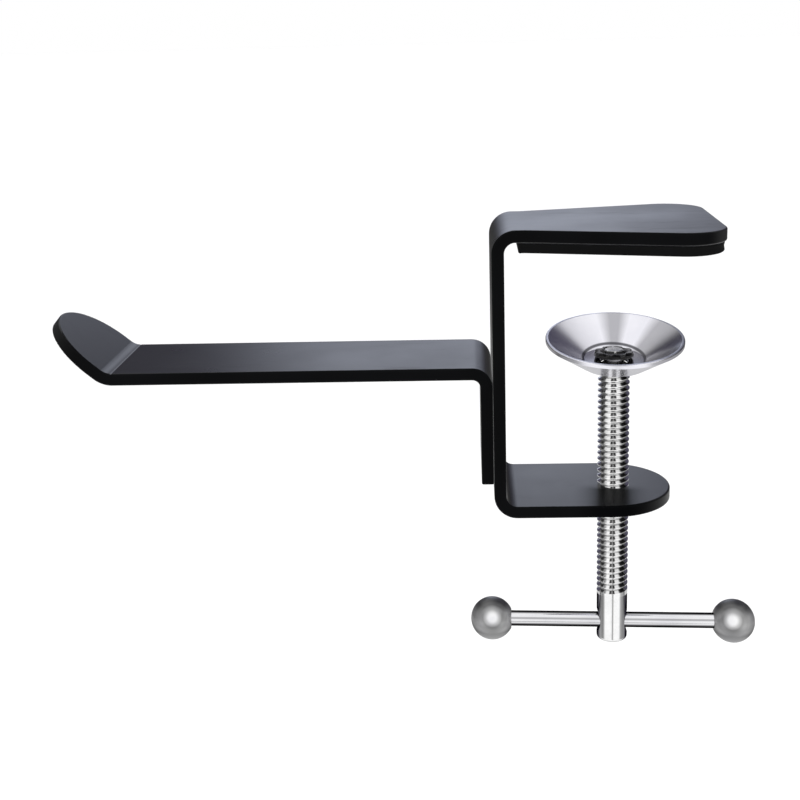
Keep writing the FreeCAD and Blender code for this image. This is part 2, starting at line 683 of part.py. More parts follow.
def make_ball_end(label, along, axis, turn):
    """A ball pressed on one end of the bar, its centre so far along the bar from the screw's axis."""
    body = new_body(label, x=f"{along} * cos(bar_turn)", y=f"-({along}) * sin(bar_turn)", z=BAR_DROP)
    turn_body(body, axis, turn)
    half = new_sketch(body, "half_sketch", "XZ_Plane")
    ball = size("ball_radius")
    flat = size("ball_flat")
    flat_radius = (ball ** 2 - flat ** 2) ** 0.5
    circle = Part.Circle(FreeCAD.Vector(), FreeCAD.Vector(0, 0, 1), ball)
    flat_corner = FreeCAD.Vector(-flat, flat_radius, 0)
    half.addGeometry(Part.ArcOfCircle(circle, 0, circle.parameter(flat_corner)))
    half.addGeometry(Part.LineSegment(flat_corner, FreeCAD.Vector(-flat, 0, 0)))
    half.addGeometry(Part.LineSegment(FreeCAD.Vector(-flat, 0, 0), FreeCAD.Vector(ball, 0, 0)))
    half.addConstraint(Sketcher.Constraint("Coincident", 0, 3, -1, 1))
    half.addConstraint(Sketcher.Constraint("Coincident", 0, 2, 1, 1))
    half.addConstraint(Sketcher.Constraint("Coincident", 1, 2, 2, 1))
    half.addConstraint(Sketcher.Constraint("Coincident", 2, 2, 0, 1))
    half.addConstraint(Sketcher.Constraint("Vertical", 1))
    half.addConstraint(Sketcher.Constraint("PointOnObject", 1, 2, -1))
    half.addConstraint(Sketcher.Constraint("PointOnObject", 0, 1, -1))
    radius = half.addConstraint(Sketcher.Constraint("Radius", 0, ball))
    bind(half, f"Constraints[{radius}]", "ball_radius")
    offset = half.addConstraint(Sketcher.Constraint("DistanceX", -1, 1, 1, 2, -flat))
    bind(half, f"Constraints[{offset}]", "-ball_flat")
    add_turned(body, half, "ball", "Revolution", "H_Axis")
    bore = new_sketch(body, "bore_sketch", "XZ_Plane")
    bore_end = "(-ball_flat + spigot_length + bore_room)"
    draw_polygon(bore, [
        ("-ball_radius", "0"),
        (bore_end, "0"),
        (bore_end, "spigot_radius + spigot_fit"),
        ("-ball_radius", "spigot_radius + spigot_fit"),
    ])
    add_turned(body, bore, "bore", "Groove", "H_Axis")
    return body


# ---- assembly and export ---------------------------------------------------------------------------

parts = [
    make_clamp_frame(),
    make_jaw_sheet("pad_adhesive", "(pad_inset * 2)", "film_thickness", "pad_thickness"),
    make_jaw_sheet("jaw_pad", "pad_inset", "pad_thickness", "0"),
    make_hook_arm(),
    make_rivets(),
    make_clamp_screw(),
    make_pressure_cup(),
    make_cup_washer(),
    make_star_clip(),
    make_tommy_bar(),
    make_ball_end("ball_end_left", "-ball_centre", (0, 0, 1), "180 - bar_turn"),
    make_ball_end("ball_end_right", "ball_centre", (0, 0, -1), "bar_turn"),
]
doc.recompute()

for thing in doc.Objects:
    if "Invalid" in thing.State or "Error" in thing.State:
        raise RuntimeError(f"{thing.Label} failed to recompute: {thing.State}")
for part in parts:
    if part.Shape.isNull() or not part.Shape.isValid():
        raise RuntimeError(f"{part.Label} has no valid shape")

os.makedirs("parts", exist_ok=True)
for part in parts:
    part.Shape.exportStep(f"parts/{part.Label}.step")
    print(f"{part.Label}: {len(part.Shape.Solids)} solid(s), {part.Shape.Volume:.1f} mm3")
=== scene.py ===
import math

import bmesh
import bpy
from mathutils import Matrix, Vector


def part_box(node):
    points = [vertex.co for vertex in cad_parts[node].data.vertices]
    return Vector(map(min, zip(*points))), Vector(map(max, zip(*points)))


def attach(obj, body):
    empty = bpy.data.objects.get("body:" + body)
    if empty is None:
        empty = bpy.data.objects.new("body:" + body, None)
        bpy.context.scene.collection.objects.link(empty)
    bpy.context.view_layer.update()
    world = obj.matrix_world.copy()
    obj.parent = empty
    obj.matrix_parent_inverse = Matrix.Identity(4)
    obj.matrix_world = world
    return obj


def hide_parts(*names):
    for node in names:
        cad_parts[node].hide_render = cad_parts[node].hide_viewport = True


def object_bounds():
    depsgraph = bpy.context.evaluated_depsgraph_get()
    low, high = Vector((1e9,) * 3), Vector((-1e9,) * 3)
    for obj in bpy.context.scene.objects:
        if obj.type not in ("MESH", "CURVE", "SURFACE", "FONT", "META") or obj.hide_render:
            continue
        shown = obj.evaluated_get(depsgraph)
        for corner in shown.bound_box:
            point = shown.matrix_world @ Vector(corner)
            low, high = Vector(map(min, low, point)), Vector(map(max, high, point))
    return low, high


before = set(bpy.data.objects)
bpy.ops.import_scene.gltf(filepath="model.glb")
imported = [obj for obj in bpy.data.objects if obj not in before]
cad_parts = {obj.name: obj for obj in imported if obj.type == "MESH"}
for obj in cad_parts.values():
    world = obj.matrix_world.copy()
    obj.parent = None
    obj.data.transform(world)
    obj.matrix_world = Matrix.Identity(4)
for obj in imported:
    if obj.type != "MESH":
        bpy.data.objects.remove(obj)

MM = 0.001
cad_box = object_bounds()

# ---- colours, sizes and curves of the finishes --------------------------------------------------

COAT_BLACK = (0.0020, 0.0021, 0.0024, 1)
COAT_CLOUD = (0.0031, 0.0033, 0.0039, 1)
COAT_SPECK = (0.02, 0.021, 0.024, 1)
# rubbed edges, lighter as wear and as a painted edge highlight
COAT_RUBBED_AND_HIGHLIGHT = (0.05, 0.05, 0.054, 1)
BAR_CLEAN = (0.86, 0.86, 0.88, 1)
BAR_HAZY = (0.78, 0.78, 0.81, 1)
CUP_CLEAN = (0.93, 0.925, 0.98, 1)
CUP_HAZY = (0.86, 0.855, 0.92, 1)
CUP_CORNER_LINE = (0.07, 0.07, 0.08, 1)
# a painted reflection on the sides of the screw's plain head
HEAD_PAINTED_SIDES = (0.08, 0.075, 0.10, 1)
BALL_HAZY = (0.90, 0.90, 0.92, 1)
OXIDE_BLACK = (0.010, 0.010, 0.011, 1)
OXIDE_STAIN = (0.028, 0.027, 0.026, 1)
RUBBER_BLACK = (0.0018, 0.0018, 0.0020, 1)
RUBBER_BLOOM = (0.0040, 0.0040, 0.0044, 1)
TAPE_DUST = (0.016, 0.016, 0.0155, 1)

FLOOR_EDGE = 7.7 * MM            # radius of the cup's flat floor
HEAD_LENGTH = 13.0 * MM          # plain part at the screw's lower end
THREAD_ROOTS = (3.0 * MM, 3.3 * MM)      # radii over which the darkening in the thread's roots thins out
CLEAR_OF_STUB = (2.9 * MM, 3.0 * MM)     # the thin stub in the cup lies inside these, the thread outside

# The screw's painted dark reflection on the lower jaw, measured from the screw's axis.
SHADE_DEPTH = 0.95
SHADE_FRONT = 5 * MM             # full from this far in front
SHADE_CORE = 3 * MM              # full to this far aside
SHADE_EDGE = 11 * MM             # gone from this far aside
SHADE_HEIGHT = (-50 * MM, -55 * MM)      # starts and is full here, which keeps it to the lower jaw

# Each table below holds (position, level) stops.
# Painted reflection on the bar, from its outline to the line that faces the viewer: dark edges and a soft
# centre line.
BAR_PAINTED_REFLECTION = [
    (0.00, 0.03), (0.62, 0.05), (0.74, 0.38), (0.82, 1.00), (0.985, 1.00), (0.996, 0.55), (1.00, 0.50),
]
# Painted reflection inside the cup, from left to right: a grey middle and a darker right end.
CUP_PAINTED_REFLECTION = [
    (0.00, 0.80), (0.34, 1.00), (0.455, 0.54), (0.545, 0.54), (0.64, 1.00), (0.79, 0.98), (0.87, 0.52),
    (1.00, 0.45),
]
# Painted reflection of upright bands on the upper flanks of the thread, from left to right.
FLANK_PAINTED_REFLECTION = [
    (0.00, 1.00), (0.07, 0.70), (0.12, 0.22), (0.17, 0.22), (0.22, 1.00), (0.39, 1.00), (0.42, 0.05),
    (0.46, 0.04), (0.49, 0.30), (0.51, 0.30), (0.54, 0.03), (0.58, 0.05), (0.61, 0.90), (0.73, 0.85),
    (0.78, 0.04), (0.92, 0.02), (0.955, 0.50), (1.00, 1.00),
]
# Painted highlight and shade on a ball's middle and its upper part, from the outline to the point that
# faces the viewer.
BALL_PAINTED_MIDDLE = [
    (0.00, 0.80), (0.40, 0.80), (0.66, 0.85), (0.80, 0.58), (0.89, 0.36), (0.95, 0.62), (0.985, 1.00),
    (1.00, 1.00),
]
BALL_PAINTED_UPPER = [(0.00, 0.60), (0.30, 0.36), (0.62, 0.15), (0.80, 0.17), (0.93, 0.45), (1.00, 1.00)]
# Painted shade on a ball's lower half, pale again underneath, from its lowest point to just above its
# middle.
BALL_PAINTED_LOWER = [(0.00, 1.00), (0.14, 0.95), (0.31, 0.42), (0.48, 0.64), (0.58, 1.00)]

# ---- node helpers -------------------------------------------------------------------------------


def grey(level):
    return (level, level, level, 1.0)


class Nodes:
    """A node tree under construction, with the few nodes that repeat."""

    def __init__(self, tree):
        self.tree = tree

    def add(self, kind, inputs=None, **settings):
        """A node of one kind. Each input is a number, a colour, or another node's output."""
        node = self.tree.nodes.new(kind)
        for key, value in settings.items():
            setattr(node, key, value)
        for key, value in (inputs or {}).items():
            self.feed(node.inputs[key], value)
        return node

    def feed(self, socket, value):
        """Links another node's output to a socket, or sets the socket to a plain value."""
        if isinstance(value, bpy.types.NodeSocket):
            self.tree.links.new(value, socket)
        else:
            socket.default_value = value

    def calc(self, operation, first, second=0.0):
        """Arithmetic on numbers."""
        return self.add("ShaderNodeMath", {0: first, 1: second}, operation=operation).outputs[0]

    def direction(self, operation, first, second=(0, 0, 0)):
        """Arithmetic on directions that gives a direction."""
        node = self.add("ShaderNodeVectorMath", {0: first, 1: second}, operation=operation)
        return node.outputs["Vector"]

    def measure(self, operation, first, second=(0, 0, 0)):
        """Arithmetic on directions that gives a number."""
        node = self.add("ShaderNodeVectorMath", {0: first, 1: second}, operation=operation)
        return node.outputs["Value"]

    def parts(self, direction):
        """The X, Y and Z of a place or direction."""
        return self.add("ShaderNodeSeparateXYZ", {0: direction}).outputs

    def spread(self, value, low, high, to_low=0.0, to_high=1.0):
        """Maps value smoothly from low..high to to_low..to_high, held at both ends."""
        node = self.add("ShaderNodeMapRange", {
            "Value": value, "From Min": low, "From Max": high, "To Min": to_low, "To Max": to_high},
            interpolation_type="SMOOTHSTEP")
        return node.outputs["Result"]

    def window(self, value, rise, fall):
        """1 between the two slopes, 0 outside them."""
        return self.calc("MULTIPLY", self.spread(value, *rise), self.spread(value, *fall))

    def invert(self, value):
        return self.calc("SUBTRACT", 1.0, value)

    def blend(self, share, first, second):
        """Mixes two colours: the first where share is 0, the second where it is 1."""
        node = self.add("ShaderNodeMix", {"Factor": share, "A": first, "B": second}, data_type="RGBA")
        return node.outputs["Result"]

    def tint(self, colour, shade):
        """One colour multiplied by another."""
        node = self.add("ShaderNodeMix", {"Factor": 1.0, "A": colour, "B": shade},
                        data_type="RGBA", blend_type="MULTIPLY")
        return node.outputs["Result"]

    def curve(self, value, stops):
        """A grey level that follows (position, level) stops along value."""
        node = self.add("ShaderNodeValToRGB", {"Fac": value})
        marks = node.color_ramp.elements
        for mark, (position, level) in zip(marks, (stops[0], stops[-1])):
            mark.position = position
            mark.color = grey(level)
        for position, level in stops[1:-1]:
            marks.new(position).color = grey(level)
        return node.outputs["Color"]


class Surface(Nodes):
    """A material under construction: its shader, and nodes that read the surface under it."""

    def __init__(self, name):
        self.material = bpy.data.materials.new(name)
        self.material.use_nodes = True
        super().__init__(self.material.node_tree)
        self.shader = self.tree.nodes["Principled BSDF"]
        self.place = self.add("ShaderNodeTexCoord").outputs["Object"]
        self.shape = self.add("ShaderNodeNewGeometry").outputs

    def set(self, **inputs):
        """Sets the shader's inputs: base_color=..., specular_ior_level=... and so on."""
        for key, value in inputs.items():
            words = ["IOR" if word == "ior" else word.capitalize() for word in key.split("_")]
            self.feed(self.shader.inputs[" ".join(words)], value)

    def noise(self, scale, detail=3.0, roughness=0.5, stretch=(1, 1, 1)):
        """Noise from 0 to 1 whose grain is 1 / scale metres across, drawn out along an axis by stretch."""
        place = self.add("ShaderNodeMapping", {"Vector": self.place, "Scale": stretch})
        node = self.add("ShaderNodeTexNoise", {
            "Vector": place.outputs[0], "Scale": scale, "Detail": detail, "Roughness": roughness})
        return node.outputs["Fac"]

    def bump(self, height, depth, strength=1.0, under=None):
        """Raises the surface by height times depth metres, on top of another bump."""
        node = self.add("ShaderNodeBump", {"Height": height, "Distance": depth, "Strength": strength})
        if under is not None:
            self.feed(node.inputs["Normal"], under)
        return node.outputs["Normal"]

    def edges(self, width):
        """Near 1 along sharp edges, to about width from them, and 0 on flat faces."""
        soft = self.add("ShaderNodeBevel", {"Radius": width}, samples=6).outputs[0]
        match = self.measure("DOT_PRODUCT", soft, self.shape["Normal"])
        return self.spread(match, 0.99, 0.86)

    def upward(self):
        """1 where the surface looks straight up, 0 where it is upright, -1 where it looks down."""
        return self.parts(self.shape["Normal"])["Z"]

    def facing(self, keep=None):
        """1 where the surface faces the viewer, 0 where it turns away. A rod along X looks alike from
        all sides with keep=(0, 1, 1), which leaves its axis out."""
        ends = [self.shape["Normal"], self.shape["Incoming"]]
        if keep is not None:
            ends = [self.across_rod(end, keep) for end in ends]
        return self.calc("ABSOLUTE", self.measure("DOT_PRODUCT", *ends))

    def across_rod(self, direction, keep):
        """A direction in the piece's own axes, with those that keep leaves out flattened."""
        own = self.add("ShaderNodeVectorTransform", {"Vector": direction}, vector_type="VECTOR",
                       convert_from="WORLD", convert_to="OBJECT").outputs[0]
        return self.direction("NORMALIZE", self.direction("MULTIPLY", own, keep))

    def radius(self):
        """Distance from the screw's axis, in metres."""
        place = self.parts(self.place)
        across = self.calc("POWER", place["X"], 2.0)
        deep = self.calc("POWER", place["Y"], 2.0)
        return self.calc("SQRT", self.calc("ADD", across, deep))

    def from_axis(self):
        """The way out from the screw's axis to the point, level, in metres."""
        return self.direction("MULTIPLY", self.shape["Position"], (1, 1, 0))

    def abreast(self):
        """Round the screw's axis as the viewer sees it: 0 at the left, 0.5 in the middle, 1 at the
        right."""
        out = self.direction("NORMALIZE", self.from_axis())
        right = self.direction("CROSS_PRODUCT", (0, 0, 1), self.shape["Incoming"])
        match = self.measure("DOT_PRODUCT", out, self.direction("NORMALIZE", right))
        return self.calc("ADD", self.calc("MULTIPLY", match, 0.5), 0.5)

    def painted_screw_image(self):
        """Near 1 in front of the screw as the viewer sees it, fading out to both sides and behind: where a
        dark reflection of the screw is painted.
        """
        view = self.direction("MULTIPLY", self.shape["Incoming"], (1, 1, 0))
        view = self.direction("NORMALIZE", view)
        nearer = self.measure("DOT_PRODUCT", self.from_axis(), view)
        aside = self.measure("LENGTH", self.direction("CROSS_PRODUCT", self.from_axis(), view))
        return self.calc("MULTIPLY", self.spread(nearer, 0.0, SHADE_FRONT, 0.0, SHADE_DEPTH),
                         self.spread(aside, SHADE_CORE, SHADE_EDGE, 1.0, 0.0))


# ---- materials ----------------------------------------------------------------------------------


def powder_coat():
    """Satin black powder coat: fine orange peel, soft cloudiness, thin rubbed edges that also carry a
    painted edge highlight, a few specks.
    """
    coat = Surface("black_powder_coat_finish")
    clouds = coat.noise(45, detail=4)
    peel = coat.noise(1100, detail=2)
    grain = coat.noise(4200, detail=2, roughness=0.7)
    scuffs = coat.noise(160, detail=6, roughness=0.7, stretch=(0.25, 1, 1))
    # rubbed edges: partly real wear, partly a painted edge highlight, lighter and glossier there
    edge_wear_and_highlight = coat.calc("MULTIPLY", coat.edges(0.5 * MM), coat.spread(scuffs, 0.42, 0.7, 0.15, 1.0))
    body = coat.blend(coat.spread(clouds, 0.3, 0.7), COAT_BLACK, COAT_CLOUD)
    specks = coat.spread(coat.noise(2600, detail=1), 0.74, 0.8, 0.0, 0.25)
    body = coat.blend(specks, body, COAT_SPECK)
    body = coat.blend(coat.calc("MULTIPLY", edge_wear_and_highlight, 0.5), body, COAT_RUBBED_AND_HIGHLIGHT)
    rough = coat.spread(clouds, 0.25, 0.75, 0.27, 0.34)
    rough = coat.calc("ADD", rough, coat.spread(scuffs, 0.55, 0.75, 0.0, 0.06))
    rough = coat.calc("SUBTRACT", rough, coat.calc("MULTIPLY", edge_wear_and_highlight, 0.06))
    # the cured film is deep black head on and takes a sheen at a low angle
    gloss = coat.spread(coat.facing(), 0.85, 0.30, 0.03, 0.62)
    # painted reflection: the lower jaw loses that sheen in front of the screw, whose broad dark image lies
    # there
    low = coat.spread(coat.parts(coat.place)["Z"], *SHADE_HEIGHT)
    gloss = coat.calc("MULTIPLY", gloss, coat.invert(coat.calc("MULTIPLY", coat.painted_screw_image(), low)))
    gloss = coat.calc("ADD", gloss, coat.calc("MULTIPLY", edge_wear_and_highlight, 0.3))
    normal = coat.bump(peel, 0.010 * MM, 0.30)
    normal = coat.bump(grain, 0.004 * MM, 0.5, under=normal)
    coat.set(base_color=body, roughness=rough, specular_ior_level=gloss, normal=normal)
    return coat.material


def polished_chrome():
    """The bar's chrome, with a faint lavender cast, polishing marks along it, hazy fingerprints and a
    painted reflection.
    """
    chrome = Surface("chrome_plate_finish")
    haze = chrome.noise(90, detail=5, roughness=0.6)
    marks = chrome.noise(5200, detail=2, stretch=(0.06, 1, 1))
    # painted reflection: dark edges and a soft centre line tint the colour and the shine by how the bar
    # faces the viewer
    painted_reflection = chrome.curve(chrome.facing(keep=(0, 1, 1)), BAR_PAINTED_REFLECTION)
    colour = chrome.blend(chrome.spread(haze, 0.35, 0.7), BAR_CLEAN, BAR_HAZY)
    colour = chrome.tint(colour, painted_reflection)
    rough = chrome.spread(haze, 0.4, 0.75, 0.07, 0.15)
    rough = chrome.calc("ADD", rough, chrome.spread(marks, 0.4, 0.8, 0.0, 0.03))
    rough = chrome.calc("ADD", rough, chrome.calc("MULTIPLY", chrome.edges(0.3 * MM), 0.06))
    normal = chrome.bump(marks, 0.0012 * MM, 0.5)
    chrome.set(base_color=colour, specular_tint=painted_reflection, metallic=1.0, roughness=rough, normal=normal)
    return chrome.material


def spun_chrome():
    """The cup's chrome: fine rings left by spinning, a painted reflection of a soft grey middle and a thin
    dark line round the floor.
    """
    chrome = Surface("spun_chrome_finish")
    haze = chrome.noise(70, detail=5, roughness=0.6)
    rings = chrome.add("ShaderNodeTexNoise", {
        "Scale": 5200.0, "Detail": 2.0, "W": chrome.radius()}, noise_dimensions="1D").outputs["Fac"]
    colour = chrome.blend(chrome.spread(haze, 0.35, 0.7), CUP_CLEAN, CUP_HAZY)
    inside = chrome.spread(chrome.upward(), 0.0, 0.2)
    # painted reflection: a grey middle and a darker right end, as the viewer sees the inside
    painted_cup_reflection = chrome.curve(chrome.abreast(), CUP_PAINTED_REFLECTION)
    colour = chrome.tint(colour, chrome.blend(inside, grey(1.0), painted_cup_reflection))
    # a thin dark line runs in the corner around the floor
    away = chrome.calc("ABSOLUTE", chrome.calc("SUBTRACT", chrome.radius(), FLOOR_EDGE))
    floor_corner_line = chrome.calc("MULTIPLY", inside, chrome.spread(away, 0.15 * MM, 0.45 * MM, 0.9, 0.0))
    colour = chrome.blend(floor_corner_line, colour, CUP_CORNER_LINE)
    rough = chrome.spread(haze, 0.35, 0.75, 0.20, 0.27)
    rough = chrome.calc("ADD", rough, chrome.calc("MULTIPLY", chrome.edges(0.3 * MM), 0.05))
    normal = chrome.bump(rings, 0.0015 * MM, 0.5)
    normal = chrome.bump(chrome.noise(140, detail=2), 0.02 * MM, 0.15, under=normal)
    chrome.set(base_color=colour, metallic=1.0, roughness=rough, normal=normal)
    return chrome.material


def nickel_thread():
    """Bright nickel: clean crests, darker roots, fine chatter, and grooves with a painted reflection of
    dark bands.
    """
    nickel = Surface("nickel_plate_finish")
    film = nickel.noise(260, detail=4, roughness=0.65)
    chatter = nickel.noise(2600, detail=2, stretch=(1, 1, 0.2))
    roots = nickel.spread(nickel.radius(), *THREAD_ROOTS, 1.0, 0.0)
    root_darkening = nickel.calc("MULTIPLY", roots, nickel.spread(film, 0.3, 0.7, 0.25, 0.7))
    colour = nickel.blend(nickel.spread(film, 0.3, 0.7), grey(1.0), grey(0.90))
    colour = nickel.blend(root_darkening, colour, grey(0.10))
    # painted reflection: only the upper flanks carry the bands; the plain head, the stub and the crests do
    # not
    flank = nickel.calc("MULTIPLY", nickel.spread(nickel.upward(), 0.30, 0.60),
                        nickel.spread(nickel.radius(), *CLEAR_OF_STUB))
    painted_band_reflection = nickel.blend(flank, grey(1.0), nickel.curve(nickel.abreast(), FLANK_PAINTED_REFLECTION))
    # painted reflection: the plain head below the thread fades to a violet grey at both sides
    head_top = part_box("clamp_screw")[0].z + HEAD_LENGTH
    head = nickel.spread(nickel.parts(nickel.place)["Z"], head_top, head_top - 0.4 * MM)
    painted_head_sides = nickel.blend(nickel.spread(nickel.facing(keep=(1, 1, 0)), 0.40, 0.92), HEAD_PAINTED_SIDES, grey(1.0))
    painted_band_reflection = nickel.blend(head, painted_band_reflection, painted_head_sides)
    colour = nickel.tint(colour, painted_band_reflection)
    rough = nickel.spread(film, 0.3, 0.75, 0.06, 0.14)
    rough = nickel.calc("ADD", rough, nickel.calc("MULTIPLY", root_darkening, 0.2))
    normal = nickel.bump(chatter, 0.002 * MM, 0.5)
    nickel.set(base_color=colour, specular_tint=painted_band_reflection, metallic=1.0, roughness=rough, normal=normal)
    return nickel.material


def satin_nickel():
    """Tumbled satin nickel of the balls: fine pitting under a soft broad shine, with a painted highlight
    and shade.
    """
    nickel = Surface("satin_nickel_finish")
    cloud = nickel.noise(220, detail=4)
    pits = nickel.noise(3600, detail=3, roughness=0.7)
    colour = nickel.blend(nickel.spread(cloud, 0.3, 0.7), grey(1.0), BALL_HAZY)
    # painted highlight and shade: bright where it faces the viewer and at its sides, dark above, grey
    # below, pale underneath
    facing = nickel.facing()
    upward = nickel.upward()
    painted_reflection = nickel.blend(nickel.spread(upward, 0.42, 0.80),
                       nickel.curve(facing, BALL_PAINTED_MIDDLE), nickel.curve(facing, BALL_PAINTED_UPPER))
    height = nickel.calc("ADD", nickel.calc("MULTIPLY", upward, 0.5), 0.5)
    painted_reflection = nickel.tint(painted_reflection, nickel.curve(height, BALL_PAINTED_LOWER))
    colour = nickel.tint(colour, painted_reflection)
    rough = nickel.spread(cloud, 0.3, 0.7, 0.36, 0.44)
    normal = nickel.bump(pits, 0.004 * MM, 0.6)
    nickel.set(base_color=colour, specular_tint=painted_reflection, metallic=1.0, roughness=rough, normal=normal)
    return nickel.material


def black_oxide():
    """Oiled black oxide on spring steel, bare and bright where the stamped edges rub."""
    steel = Surface("black_oxide_finish")
    stain = steel.noise(700, detail=4)
    wear = steel.calc("MULTIPLY", steel.edges(0.15 * MM), steel.spread(stain, 0.4, 0.65))
    colour = steel.blend(steel.spread(stain, 0.3, 0.7), OXIDE_BLACK, OXIDE_STAIN)
    colour = steel.blend(wear, colour, grey(0.30))
    rough = steel.spread(stain, 0.3, 0.7, 0.25, 0.42)
    normal = steel.bump(steel.noise(5000, detail=2), 0.003 * MM, 0.5)
    steel.set(base_color=colour, metallic=0.75, roughness=rough, normal=normal)
    return steel.material


def foam_rubber():
    """Matt closed-cell foam rubber: dark pores under a dry bloom."""
    foam = Surface("pad_rubber_finish")
    cells = foam.add("ShaderNodeTexVoronoi", {"Vector": foam.place, "Scale": 2600.0}).outputs["Distance"]
    bloom = foam.noise(120, detail=5, roughness=0.6)
    colour = foam.blend(foam.spread(bloom, 0.35, 0.75), RUBBER_BLACK, RUBBER_BLOOM)
    colour = foam.blend(foam.spread(cells, 0.0, 0.35, 0.5, 0.0), colour, grey(0.002))
    rough = foam.spread(bloom, 0.3, 0.7, 0.62, 0.78)
    normal = foam.bump(cells, 0.06 * MM, 0.5)
    normal = foam.bump(foam.noise(5200), 0.02 * MM, 0.4, under=normal)
    foam.set(base_color=colour, roughness=rough, specular_ior_level=0.08, sheen_weight=0.01,
             normal=normal)
    return foam.material


def adhesive_film():
    """Black double-sided tape seen edge on: tacky, dusty and slightly ragged."""
    film = Surface("adhesive_film_finish")
    dust = film.noise(900, detail=5, roughness=0.7)
    colour = film.blend(film.spread(dust, 0.5, 0.75), grey(0.004), TAPE_DUST)
    rough = film.spread(dust, 0.3, 0.7, 0.4, 0.8)
    normal = film.bump(dust, 0.03 * MM, 0.6)
    film.set(base_color=colour, roughness=rough, specular_ior_level=0.08, normal=normal)
    return film.material


def pale_paper():
    """The pale studio floor: matt, with a faint mottle, nothing that draws the eye."""
    floor = Surface("pale_floor")
    mottle = floor.noise(6)
    colour = floor.blend(mottle, grey(0.93), grey(0.96))
    rough = floor.spread(mottle, 0.3, 0.7, 0.7, 0.8)
    floor.set(base_color=colour, roughness=rough, normal=floor.bump(mottle, 0.2 * MM, 0.1))
    return floor.material


def dress_cad_nodes():
    """Gives every CAD node that stays in view its finish."""
    coat = powder_coat()
    oxide = black_oxide()
    satin = satin_nickel()
    finishes = {
        "clamp_frame": coat,
        "hook_arm": coat,
        "hook_rivets": coat,
        "pad_adhesive": adhesive_film(),
        "clamp_screw": nickel_thread(),
        "pressure_cup": spun_chrome(),
        "cup_washer": oxide,
        "star_clip": oxide,
        "tommy_bar": polished_chrome(),
        "ball_end_left": satin,
        "ball_end_right": satin,
    }
    for name, material in finishes.items():
        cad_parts[name].material_slots[0].material = material


# ---- the jaw pad --------------------------------------------------------------------------------

PAD_REAR_STRAIGHT = 1.7 * MM     # rear edge to where the sides start to spread
PAD_REAR_HALF_WIDTH = 15.5 * MM
PAD_CORNER_RADIUS = 9.2 * MM
PAD_FLARE = 0.242                # how much the half width grows along the pad
PAD_CORNER_STEPS = 24
PAD_POINT_SPACING = 0.8 * MM
PAD_CREASE = math.radians(50)    # edges that turn more than this stay sharp
# The side from the lower face to the upper one, as (share of the thickness, inset in millimetres):
# a rounded lower edge, a waist, a small upper edge.
PAD_PROFILE = [
    (0.0, 1.00), (0.0, 0.60), (0.03, 0.32), (0.09, 0.12), (0.18, 0.02), (0.30, 0.06),
    (0.50, 0.16), (0.70, 0.12), (0.86, 0.03), (0.95, 0.02), (1.0, 0.10),
]


def pad_outline(low, high):
    """The pad's outline seen from above, counter-clockwise: a flared tongue with two round corners."""
    slope = math.atan(PAD_FLARE)
    turn = math.pi / 2 + slope
    flare_x = low.x + PAD_REAR_STRAIGHT
    centre_x = high.x - PAD_CORNER_RADIUS
    centre_y = high.y - PAD_CORNER_RADIUS
    points = [Vector((low.x, -PAD_REAR_HALF_WIDTH)), Vector((flare_x, -PAD_REAR_HALF_WIDTH))]
    for side in (-1, 1):
        steps = range(PAD_CORNER_STEPS + 1)
        for step in steps if side < 0 else reversed(steps):
            angle = math.pi / 2 + slope - turn * step / PAD_CORNER_STEPS
            points.append(Vector((centre_x + PAD_CORNER_RADIUS * math.cos(angle),
                                  side * (centre_y + PAD_CORNER_RADIUS * math.sin(angle)))))
    points += [Vector((flare_x, PAD_REAR_HALF_WIDTH)), Vector((low.x, PAD_REAR_HALF_WIDTH))]
    return points


def evenly_spaced(points, spacing):
    """The closed outline again, with extra points so that none are further apart than spacing."""
    result = []
    for start, end in zip(points, points[1:] + points[:1]):
        pieces = max(1, math.ceil((end - start).length / spacing))
        result += [start.lerp(end, number / pieces) for number in range(pieces)]
    return result


def inward_normals(points):
    """Unit vectors that point into a counter-clockwise outline, one at each point."""
    normals = []
    count = len(points)
    for number in range(count):
        along = points[(number + 1) % count] - points[number - 1]
        normals.append(Vector((-along.y, along.x)).normalized())
    return normals


def pad_mesh(low, high):
    """The pad's side as a stack of inset outlines, closed by its lower and upper faces."""
    outline = evenly_spaced(pad_outline(low, high), PAD_POINT_SPACING)
    inward = inward_normals(outline)
    count = len(outline)
    mesh = bmesh.new()
    rings = []
    for share, inset in PAD_PROFILE:
        level = low.z + share * (high.z - low.z)
        edge = [point + normal * inset * MM for point, normal in zip(outline, inward)]
        rings.append([mesh.verts.new((point.x, point.y, level)) for point in edge])
    for lower, upper in zip(rings, rings[1:]):
        for number in range(count):
            after = (number + 1) % count
            mesh.faces.new((lower[number], lower[after], upper[after], upper[number]))
    mesh.faces.new(list(reversed(rings[0])))
    mesh.faces.new(rings[-1])
    bmesh.ops.recalc_face_normals(mesh, faces=mesh.faces)
    data = bpy.data.meshes.new("jaw_pad_foam")
    mesh.to_mesh(data)
    mesh.free()
    data.shade_smooth()
    data.set_sharp_from_angle(angle=PAD_CREASE)
    return data


def make_jaw_pad():
    """The foam rubber pad: die-cut sides that pull in between its faces, and a soft lower edge."""
    pad = bpy.data.objects.new("jaw_pad_foam", pad_mesh(*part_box("jaw_pad")))
    pad.data.materials.append(foam_rubber())
    bpy.context.scene.collection.objects.link(pad)
    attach(pad, "frame")
    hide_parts("jaw_pad")
    return pad


# ---- the studio ---------------------------------------------------------------------------------

FLOOR_DROP = 0.25                # how far the floor lies below the hanging clamp
FLOOR_SIZE = 60

SOFTBOX_PLACE = Vector((0.1, 0.05, 0.75))
SOFTBOX_AIM = Vector((0, 0, -0.05))
SOFTBOX_SIZE = 0.7
SOFTBOX_WATTS = 1.5

